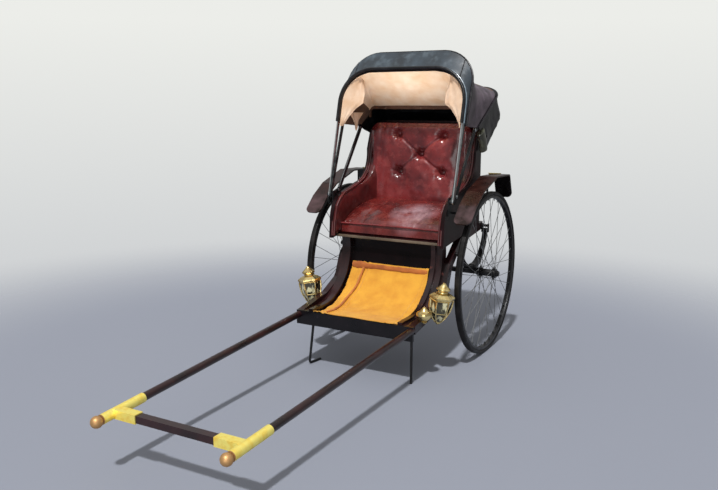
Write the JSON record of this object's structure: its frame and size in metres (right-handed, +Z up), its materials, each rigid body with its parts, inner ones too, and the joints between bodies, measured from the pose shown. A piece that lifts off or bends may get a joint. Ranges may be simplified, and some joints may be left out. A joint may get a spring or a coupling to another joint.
{
  "type": "pulled rickshaw",
  "caption": "Hand-pulled two-wheeled passenger carriage with shafts and a pull bar, wire wheels, leaf springs, an upholstered seat, a footwell, brass lamps and a folding hood.",
  "frame": {"origin": "middle of the overall box at floor level, on the plane of symmetry", "axes": "+Z up, -Y towards the shafts and pull bar, +X to the right of a viewer who faces the seat"},
  "size_m": [1.075, 2.7218, 1.7379],
  "materials": {
    "tyre": "matt black rubber",
    "wheel_steel": "black painted rim, hub and wire spokes",
    "black_iron": "black painted iron",
    "bright_iron": "bare polished iron",
    "brass": "polished brass",
    "hood_leather": "black leathercloth",
    "seat_leather": "maroon glossy leather",
    "mat_cloth": "amber woven cloth",
    "black_lacquer": "black lacquered board",
    "lacquered_wood": "dark brown-red lacquered wood"
  },
  "bodies": {
    "root": {"apron_board": "black_lacquer", "axle": "black_iron", "back_cushion": "seat_leather", "body_back": "lacquered_wood", "body_floor": "lacquered_wood", "body_side_left": "lacquered_wood", "body_side_right": "lacquered_wood", "cross_bar": "lacquered_wood", "fender_left": "lacquered_wood", "fender_right": "lacquered_wood", "fender_stays": "black_iron", "foot_bearer": "lacquered_wood", "foot_cheek_left": "lacquered_wood", "foot_cheek_right": "lacquered_wood", "foot_floor": "lacquered_wood", "foot_mat": "mat_cloth", "foot_rail_left": "lacquered_wood", "foot_rail_right": "lacquered_wood", "hood_cloth_rear": "hood_leather", "hood_pivots": "black_iron", "lamp_arms": "brass", "lamp_left": "brass", "lamp_right": "brass", "leg_left": "black_iron", "leg_right": "black_iron", "seat_cushion": "seat_leather", "shaft_left": "lacquered_wood", "shaft_right": "lacquered_wood", "side_member_left": "lacquered_wood", "side_member_right": "lacquered_wood", "spring_left": "black_iron", "spring_right": "black_iron", "spring_shackles": "black_iron", "tee_left": "brass", "tee_right": "brass", "wing_pad_left": "seat_leather", "wing_pad_right": "seat_leather"},
    "wheel_left": {"tyre_left": "tyre", "wire_wheel_left": "wheel_steel"},
    "wheel_right": {"tyre_right": "tyre", "wire_wheel_right": "wheel_steel"},
    "hood_rear": {"hood_rear_frame": "black_iron", "hood_back_slat": "lacquered_wood", "hood_cloth_middle": "hood_leather"},
    "hood_front": {"hood_front_legs": "bright_iron", "hood_front_hoop": "hood_leather", "hood_middle_legs": "bright_iron", "hood_middle_hoop": "hood_leather", "hood_cloth_front": "hood_leather"}
  },
  "joints": [
    {"name": "wheel_left_spin", "type": "hinge", "parent": "root", "child": "wheel_left", "pos_m": [-0.466, 0.88595, 0.475], "axis": [1, 0, 0], "continuous": true},
    {"name": "wheel_right_spin", "type": "hinge", "parent": "root", "child": "wheel_right", "pos_m": [0.466, 0.88595, 0.475], "axis": [1, 0, 0], "continuous": true},
    {"name": "hood_rear_fold", "type": "hinge", "parent": "root", "child": "hood_rear", "pos_m": [0, 0.52595, 0.925], "axis": [-1, 0, 0], "range_deg": [0, 42], "deforming": ["hood_cloth_rear"]},
    {"name": "hood_front_fold", "type": "hinge", "parent": "hood_rear", "child": "hood_front", "pos_m": [0, 0.52595, 0.925], "axis": [-1, 0, 0], "range_deg": [0, 17.5], "deforming": ["hood_cloth_middle"]}
  ],
  "couplings": [
    {"joint": "hood_front_fold", "follows": "hood_rear_fold", "ratio": 0.41667}
  ]
}
